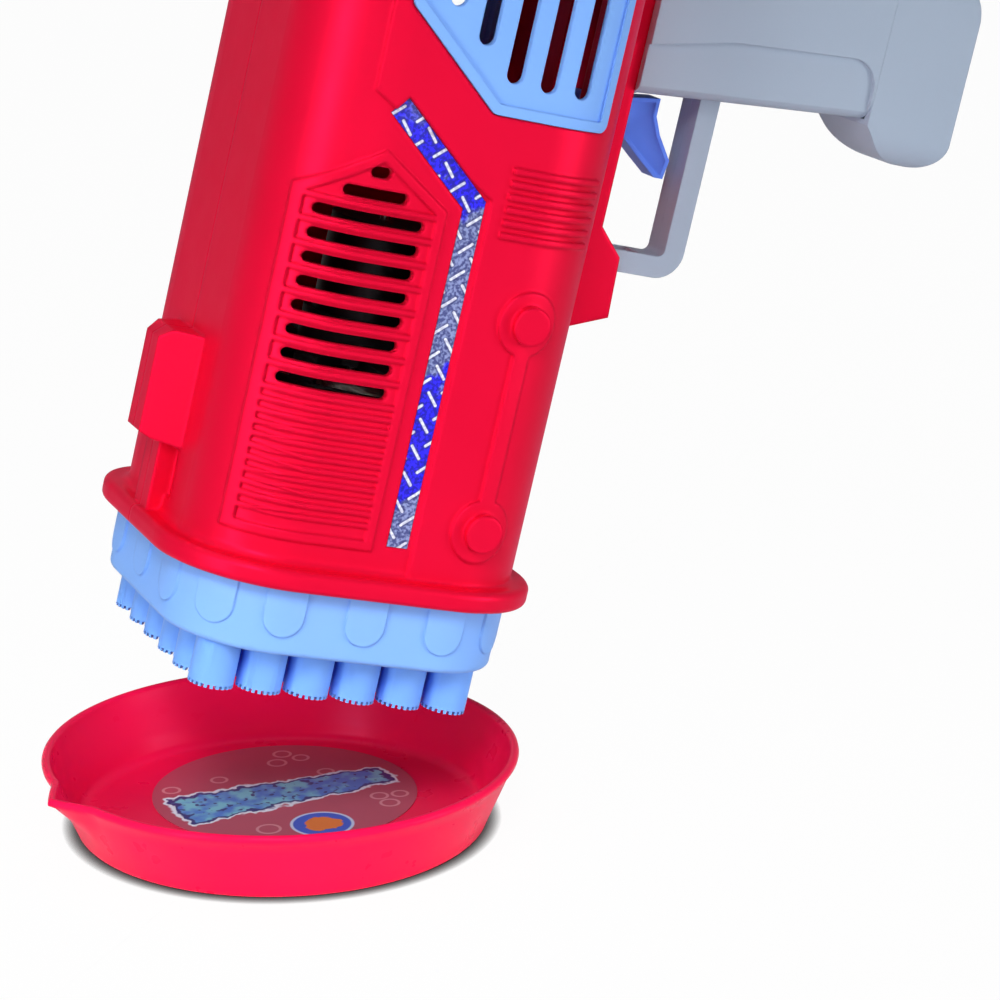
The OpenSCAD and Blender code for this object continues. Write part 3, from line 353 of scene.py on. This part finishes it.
def copy_of(node, name):
    """A merged copy of a solid's mesh, to be worked on, alone in the selection."""
    bpy.ops.object.select_all(action="DESELECT")
    piece = bpy.data.objects.new(name, nodes[node].data.copy())
    scene.collection.objects.link(piece)
    piece.select_set(True)
    bpy.context.view_layer.objects.active = piece
    bpy.ops.object.mode_set(mode="EDIT")
    bpy.ops.mesh.select_all(action="SELECT")
    bpy.ops.mesh.remove_doubles(threshold=0.000002)
    bpy.ops.object.mode_set(mode="OBJECT")
    return piece


def hand_over(piece, material, body, node):
    """Gives a finished piece its material and puts it in the place of a solid."""
    piece.data.materials.clear()
    piece.data.materials.append(material)
    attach(piece, body)
    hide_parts(node)


tubes = copy_of("tube_plate", "nozzle_tubes")
axis = (math.sin(hold_lean), 0, math.cos(hold_lean))
bpy.ops.object.mode_set(mode="EDIT")
bpy.ops.mesh.select_all(action="SELECT")
bpy.ops.mesh.bisect(
    plane_co=[p + rim_seat * a for p, a in zip(hold_place, axis)],
    plane_no=axis,
    clear_inner=True,
)
bpy.ops.object.mode_set(mode="OBJECT")
bpy.ops.object.select_all(action="DESELECT")
bpy.ops.mesh.primitive_circle_add(vertices=rim_steps, radius=tube_radius, location=(0, 0, 0))
rim = bpy.context.object
bpy.ops.object.mode_set(mode="EDIT")
bpy.ops.mesh.select_all(action="SELECT")
bpy.ops.mesh.extrude_edges_move()
bpy.ops.transform.resize(value=(tube_bore / tube_radius, tube_bore / tube_radius, 1))
bpy.ops.mesh.select_all(action="SELECT")
bpy.ops.mesh.flip_normals()
bpy.ops.mesh.select_all(action="DESELECT")
bpy.ops.mesh.select_mode(type="FACE")
bpy.ops.object.mode_set(mode="OBJECT")
for face in rim.data.polygons:
    step = math.atan2(face.center.y, face.center.x) / (2 * math.pi / rim_steps)
    face.select = math.floor(step) % 4 < 2
bpy.ops.object.mode_set(mode="EDIT")
bpy.ops.mesh.extrude_region_move(TRANSFORM_OT_translate={"value": (0, 0, -notch_deep)})
bpy.ops.object.mode_set(mode="OBJECT")
rims = []
row_middle = (tube_rows - 1) / 2
for row in range(tube_rows):
    for column in range(tube_rows):
        twin = bpy.data.objects.new("rim", rim.data.copy())
        scene.collection.objects.link(twin)
        twin.location = ((row - row_middle) * tube_pitch, (column - row_middle) * tube_pitch, rim_seat)
        rims.append(twin)
bpy.data.objects.remove(rim)
bpy.ops.object.select_all(action="DESELECT")
for piece in rims:
    piece.select_set(True)
rim = rims[0]
bpy.context.view_layer.objects.active = rim
bpy.ops.object.join()
bpy.ops.object.transform_apply(location=True, rotation=True, scale=True)
rim.rotation_euler = (0, hold_lean, 0)
rim.location = hold_place
bpy.ops.object.transform_apply(location=True, rotation=True, scale=True)
tubes.select_set(True)
bpy.context.view_layer.objects.active = tubes
bpy.ops.object.join()
bpy.ops.object.shade_smooth_by_angle(angle=math.radians(35))
tube_blue = moulded_plastic(
    "tube_blue", (0.2, 0.44, 1), (0.17, 0.39, 1), (0.6, 0.8, 1), 0.4, edge=0
)
tree = tube_blue.node_tree
shader = tree.nodes["Principled BSDF"]
place = tree.nodes["Texture Coordinate"]
axes = upright_axes()
# Tube faces away from the plate's outer edge get a deeper blue: painted shade between the tubes.
outward = maths("MAXIMUM", maths("ABSOLUTE", axes["X"]), maths("ABSOLUTE", axes["Y"]))
light_blue = shader.inputs["Base Color"].links[0].from_socket
painted_gap_shade = layer(fade(outward, 0.0312, 0.027), light_blue, (0.03, 0.13, 0.95, 1))
tree.links.new(painted_gap_shade, shader.inputs["Base Color"])
hand_over(tubes, tube_blue, "blower", "tube_plate")

# Fan and motor. A duct across the barrel, a white impeller on the motor's shaft, and the motor on a cross
# behind them; the can is steel, the shaft plated, the armature enamelled wire. The duct, the cross, the
# end cap and the can are near black: painted shade, so that the vent slots look dark.
# Near black for the parts seen through the vent slots: painted shade.
inner_black = moulded_plastic("inner_black", (0.02, 0.02, 0.024), (0.012, 0.012, 0.014), (1, 1, 1), 0.5)
for node in ("fan_duct", "motor_bracket", "motor_end_cap"):
    finish_node(node, inner_black)
inner_white = moulded_plastic("inner_white", (0.75, 0.75, 0.72), (0.68, 0.68, 0.65), (1, 1, 1), 0.5)
finish_node("impeller", inner_white)


def drawn_metal(name, colour, roughness, stretch):
    """Drawn or plated metal: fine streaks in its gloss and a faint relief."""
    material = bpy.data.materials.new(name)
    material.use_nodes = True
    tree = material.node_tree
    shader = tree.nodes["Principled BSDF"]
    shader.inputs["Metallic"].default_value = 1
    place = tree.nodes.new("ShaderNodeTexCoord")
    streak = tree.nodes.new("ShaderNodeMapping")
    streak.inputs["Scale"].default_value = stretch
    tree.links.new(place.outputs["Object"], streak.inputs["Vector"])
    marks = tree.nodes.new("ShaderNodeTexNoise")
    marks.inputs["Scale"].default_value = 900
    marks.inputs["Detail"].default_value = 4
    tree.links.new(streak.outputs["Vector"], marks.inputs["Vector"])
    tone = tree.nodes.new("ShaderNodeMix")
    tone.data_type = "RGBA"
    tone.inputs["A"].default_value = (*colour, 1)
    tone.inputs["B"].default_value = (*[0.8 * c for c in colour], 1)
    tree.links.new(marks.outputs["Fac"], tone.inputs["Factor"])
    tree.links.new(tone.outputs["Result"], shader.inputs["Base Color"])
    gloss = tree.nodes.new("ShaderNodeMapRange")
    gloss.inputs["To Min"].default_value = roughness - 0.08
    gloss.inputs["To Max"].default_value = roughness + 0.1
    tree.links.new(marks.outputs["Fac"], gloss.inputs["Value"])
    tree.links.new(gloss.outputs["Result"], shader.inputs["Roughness"])
    relief = tree.nodes.new("ShaderNodeBump")
    relief.inputs["Strength"].default_value = 0.1
    relief.inputs["Distance"].default_value = 0.0001
    tree.links.new(marks.outputs["Fac"], relief.inputs["Height"])
    tree.links.new(relief.outputs["Normal"], shader.inputs["Normal"])
    return material


plated_steel = drawn_metal("plated_steel", (0.6, 0.6, 0.62), 0.3, (1, 1, 0.08))
finish_node("motor_shaft", plated_steel)
# Near-black steel for the motor can: painted shade behind the vent slots.
slot_shade_steel = drawn_metal("slot_shade_steel", (0.035, 0.035, 0.04), 0.45, (1, 1, 0.08))
finish_node("motor_can", slot_shade_steel)
enamelled_wire = drawn_metal("enamelled_wire", (0.7, 0.32, 0.1), 0.35, (0.3, 0.3, 1))
finish_node("motor_rotor", enamelled_wire)

# Handle. Two grey-blue moulded halves with the trigger guard, screwed together, with a recessed finger
# band along the front. The flared butt of the same plastic closes the battery bay.
handle_grey = moulded_plastic(
    "handle_grey", (0.4, 0.48, 0.6), (0.36, 0.44, 0.56), (0.9, 0.95, 1), 0.45, edge=0.0004
)
for node in ("handle_left", "handle_right", "battery_cover"):
    finish_node(node, handle_grey)

# Screws. Steel self-tapping screws, driven from the right, hold the halves of the body and of the handle
# together, and one more holds the butt.
screw_steel = drawn_metal("screw_steel", (0.55, 0.55, 0.56), 0.35, (1, 1, 1))
for node in ("body_screws", "handle_screws", "battery_cover_screw"):
    finish_node(node, screw_steel)

# Trigger and switch. A blue moulded lever with sunk sides and a raised edge turns on a steel pin in the
# keel, and pushes the plunger of a small black switch at the handle's root. A coil of steel wire between
# them presses the lever back.
trigger_blue = moulded_plastic(
    "trigger_blue", (0.13, 0.26, 0.95), (0.1, 0.22, 0.88), (0.6, 0.8, 1), 0.4, edge=0.0004
)
blade_root, blade_way = (0.0826, 0, 0.1616), (0.75, 0, -0.66)
flank_low, flank_high, flank_sink = 0.0033, 0.0035, 0.0006
edge_wide, edge_slope = 0.0009, 0.0003
lever = copy_of("trigger", "trigger_lever")
bpy.ops.object.mode_set(mode="EDIT")
bpy.ops.mesh.select_all(action="SELECT")
bpy.ops.mesh.dissolve_limited(angle_limit=math.radians(1))
bpy.ops.mesh.select_all(action="SELECT")
bpy.ops.mesh.bisect(plane_co=blade_root, plane_no=blade_way)
bpy.ops.mesh.select_all(action="DESELECT")
bpy.ops.mesh.select_mode(type="FACE")
bpy.ops.object.mode_set(mode="OBJECT")
for face in lever.data.polygons:
    past_root = sum(way * (at - root) for way, at, root in zip(blade_way, face.center, blade_root))
    flank = abs(face.normal.y) > 0.99 and flank_low < abs(face.center.y) < flank_high
    face.select = flank and past_root > 0
bpy.ops.object.mode_set(mode="EDIT")
bpy.ops.mesh.inset(thickness=edge_wide, depth=0)
bpy.ops.mesh.inset(thickness=edge_slope, depth=-flank_sink)
bpy.ops.object.mode_set(mode="OBJECT")
bpy.ops.object.shade_smooth_by_angle(angle=math.radians(35))
hand_over(lever, trigger_blue, "trigger", "trigger")
finish_node("trigger_pin", plated_steel)
wire_radius, coil_radius, coil_long, coil_turns, turn_steps = 0.0004, 0.002, 0.0093, 5, 16
coil_foot, coil_top = (0.08834, 0, 0.1687), (0.09057, 0, 0.17772)
coil_steps = turn_steps * coil_turns
coil_rise = (coil_long - 2 * wire_radius) / coil_steps
bpy.ops.object.select_all(action="DESELECT")
bpy.ops.mesh.primitive_circle_add(
    vertices=8, radius=wire_radius, fill_type="NGON", location=(0, 0, 0), rotation=(math.pi / 2, 0, 0)
)
coil = bpy.context.object
coil.name = "trigger_coil"
bpy.ops.object.transform_apply(location=True, rotation=True, scale=True)
bpy.ops.object.mode_set(mode="EDIT")
bpy.ops.mesh.select_all(action="SELECT")
bpy.ops.transform.translate(value=(coil_radius, 0, wire_radius))
for step in range(coil_steps):
    bpy.ops.mesh.extrude_region_move(TRANSFORM_OT_translate={"value": (0, 0, coil_rise)})
    bpy.ops.transform.rotate(value=2 * math.pi / turn_steps, orient_axis="Z", center_override=(0, 0, 0))
bpy.ops.mesh.select_all(action="SELECT")
bpy.ops.mesh.normals_make_consistent(inside=False)
bpy.ops.object.mode_set(mode="OBJECT")
coil.rotation_euler = (0, hold_lean, 0)
coil.location = coil_foot
bpy.ops.object.transform_apply(location=True, rotation=True, scale=True)
bpy.ops.object.shade_smooth_by_angle(angle=math.radians(50))
hand_over(coil, plated_steel, "blower", "trigger_spring")
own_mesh(coil)
switch_black = moulded_plastic("switch_black", (0.03, 0.03, 0.035), (0.02, 0.02, 0.022), (1, 1, 1), 0.45)
finish_node("switch_body", switch_black)
finish_node("switch_plunger", inner_white)

# Cells. Two round cells in printed sleeves lie side by side in the grip. Plated sheet contacts touch their
# ends, in front at the handle's root and behind on the butt.
cell_sleeve = moulded_plastic("cell_sleeve", (0.05, 0.06, 0.08), (0.3, 0.18, 0.05), (1, 1, 1), 0.3)
finish_node("cells", cell_sleeve)
for node in ("front_contacts", "rear_contact"):
    finish_node(node, plated_steel)

# Tray. A red moulded dish with a slanted wall and a beaded rim, drawn out on the left to a small pour
# spout; it stands by itself.
tray_red = moulded_plastic(
    "tray_red", (0.97, 0.008, 0.085), (0.92, 0.005, 0.065), (1, 0.3, 0.7), 0.28, edge=0
)
floor_radius, floor_high = 0.04, 0.0015
tray_foot, tray_slope, tray_wall = 0.0486, 0.4438, 0.0016
toe_out, toe_radius = tray_foot - 0.0006, 0.001
bead_out, bead_high, bead_radius = 0.0554, 0.0167, 0.0011
fillet_out, fillet_high, fillet_radius = 0.0461, 0.0045, 0.003
spout_turn, spout_long, spout_reach = math.radians(191), 0.0048, 0.0095
spout_way = (math.cos(spout_turn), math.sin(spout_turn), 0)
spout_tip, spout_from = 0.0008, 0.0155


def arc(out, high, radius, turns):
    """Stations of a round edge, as radius and height."""
    turns = [math.radians(turn) for turn in turns]
    return [(out + radius * math.cos(turn), high + radius * math.sin(turn)) for turn in turns]


stations = [(floor_radius, 0)]
stations += arc(toe_out, toe_radius, toe_radius, (-90, -60, -30))
stations += [(tray_foot + tray_slope * high, high) for high in (0.0015, 0.004, 0.007, 0.010, 0.013, 0.0152)]
stations += arc(bead_out, bead_high, bead_radius, (-25, 0, 25, 50, 75, 100, 125, 150, 175))
stations += [
    (tray_foot - tray_wall + tray_slope * high, high) for high in (0.0148, 0.013, 0.010, 0.007, 0.0048)
]
stations += arc(fillet_out, fillet_high, fillet_radius, (-24, -45, -68, -90))
stations += [(floor_radius, floor_high)]
bpy.ops.object.select_all(action="DESELECT")
bpy.ops.mesh.primitive_circle_add(vertices=256, radius=floor_radius, fill_type="NGON", location=(0, 0, 0))
dish = bpy.context.object
dish.name = "tray_dish"
bpy.ops.object.mode_set(mode="EDIT")
bpy.ops.mesh.select_all(action="SELECT")
for (radius, high), (next_radius, next_high) in zip(stations, stations[1:]):
    bpy.ops.mesh.extrude_region_move(TRANSFORM_OT_translate={"value": (0, 0, next_high - high)})
    bpy.ops.transform.resize(value=(next_radius / radius, next_radius / radius, 1))
bpy.ops.mesh.select_all(action="SELECT")
bpy.ops.mesh.normals_make_consistent(inside=False)
bpy.ops.mesh.select_all(action="DESELECT")
bpy.ops.mesh.select_mode(type="VERT")
bpy.ops.object.mode_set(mode="OBJECT")
for point in dish.data.vertices:
    aside = abs(point.co.x * spout_way[1] - point.co.y * spout_way[0])
    ahead = point.co.x * spout_way[0] + point.co.y * spout_way[1]
    point.select = ahead > 0 and aside < spout_tip and point.co.z > spout_from
bpy.ops.object.mode_set(mode="EDIT")
bpy.ops.transform.translate(
    value=[spout_long * part for part in spout_way],
    use_proportional_edit=True,
    proportional_edit_falloff="LINEAR",
    proportional_size=spout_reach,
)
bpy.ops.object.mode_set(mode="OBJECT")
bpy.ops.object.shade_smooth_by_angle(angle=math.radians(40))
hand_over(dish, tray_red, "tray", "tray")

# Tray label. A round printed label stuck on the tray's floor: dull burgundy with pale bubble rings, a
# blue splash with a white edge across the middle, and a small orange and blue spot.
label_place, banner_lean = (0.0041, 0.0102, 0.00175), math.radians(4.6)
banner_half_long, banner_half_high, banner_taper = 0.0265, 0.0062, -0.085
label_print = bpy.data.materials.new("label_print")
label_print.use_nodes = True
tree = label_print.node_tree
shader = tree.nodes["Principled BSDF"]
shader.inputs["Roughness"].default_value = 0.3
shader.inputs["Specular IOR Level"].default_value = 0.3
place = tree.nodes.new("ShaderNodeTexCoord")
middle = tree.nodes.new("ShaderNodeMapping")
middle.vector_type = "TEXTURE"
middle.inputs["Location"].default_value = label_place
tree.links.new(place.outputs["Object"], middle.inputs["Vector"])


def from_point(x, y):
    """Distance over the label from a point, given from its middle."""
    step = tree.nodes.new("ShaderNodeVectorMath")
    step.operation = "DISTANCE"
    step.inputs[1].default_value = (x, y, 0)
    tree.links.new(middle.outputs["Vector"], step.inputs[0])
    return step.outputs["Value"]


wash = noise(60, 3)
colour = layer(wash, (0.56, 0.08, 0.14, 1), (0.44, 0.06, 0.11, 1))
rings = 1
for x, y, radius in (
    (0.0077, 0.0248, 0.0021), (0.0112, 0.0207, 0.0019), (0.0046, 0.0195, 0.0022), (0.0138, 0.0094, 0.0019),
    (-0.025, 0.0117, 0.002), (-0.0122, 0.0139, 0.0019), (0.0255, -0.0112, 0.0019), (0.0204, -0.0107, 0.002),
    (0.0212, -0.0158, 0.0022), (-0.011, -0.0206, 0.0027),
):
    rings = maths("MINIMUM", rings, maths("ABSOLUTE", maths("SUBTRACT", from_point(x, y), radius)))
colour = layer(maths("MULTIPLY", fade(rings, 0.0005, 0.0002), 0.6), colour, (0.85, 0.4, 0.45, 1))
spot = from_point(0.0017, -0.0223)
colour = layer(fade(spot, 0.0078, 0.0074), colour, (0.6, 0.68, 0.9, 1))
colour = layer(fade(spot, 0.0071, 0.0067), colour, (0.03, 0.1, 0.62, 1))
heart = maths("ADD", spot, maths("MULTIPLY_ADD", noise(330, 2), 0.005, -0.0025))
colour = layer(fade(heart, 0.0048, 0.0043), colour, (0.85, 0.2, 0.02, 1))
slanted = tree.nodes.new("ShaderNodeMapping")
slanted.vector_type = "TEXTURE"
slanted.inputs["Rotation"].default_value = (0, 0, banner_lean)
tree.links.new(middle.outputs["Vector"], slanted.inputs["Vector"])
banner = tree.nodes.new("ShaderNodeSeparateXYZ")
tree.links.new(slanted.outputs["Vector"], banner.inputs["Vector"])
half_high = maths("MULTIPLY_ADD", banner.outputs["X"], banner_taper, banner_half_high)
past_side = maths("SUBTRACT", maths("ABSOLUTE", banner.outputs["Y"]), half_high)
past_tip = maths("SUBTRACT", maths("ABSOLUTE", banner.outputs["X"]), banner_half_long)
ragged = maths("MULTIPLY_ADD", noise(240, 2), 0.006, -0.003)
splash = maths("ADD", maths("SMOOTH_MAX", past_side, past_tip, 0.002), ragged)
colour = layer(fade(splash, 0.002, 0.0013), colour, (0.85, 0.9, 1, 1))
colour = layer(fade(splash, 0.0009, 0.0005), colour, (0.01, 0.02, 0.2, 1))
water = layer(fade(noise(210, 2), 0.4, 0.65), (0.06, 0.22, 0.7, 1), (0.2, 0.6, 0.75, 1))
water = layer(fade(noise(480, 1), 0.6, 0.66), water, (0.012, 0.03, 0.22, 1))
colour = layer(fade(splash, 0, -0.0005), colour, water)
tree.links.new(colour, shader.inputs["Base Color"])
finish_node("tray_label", label_print)
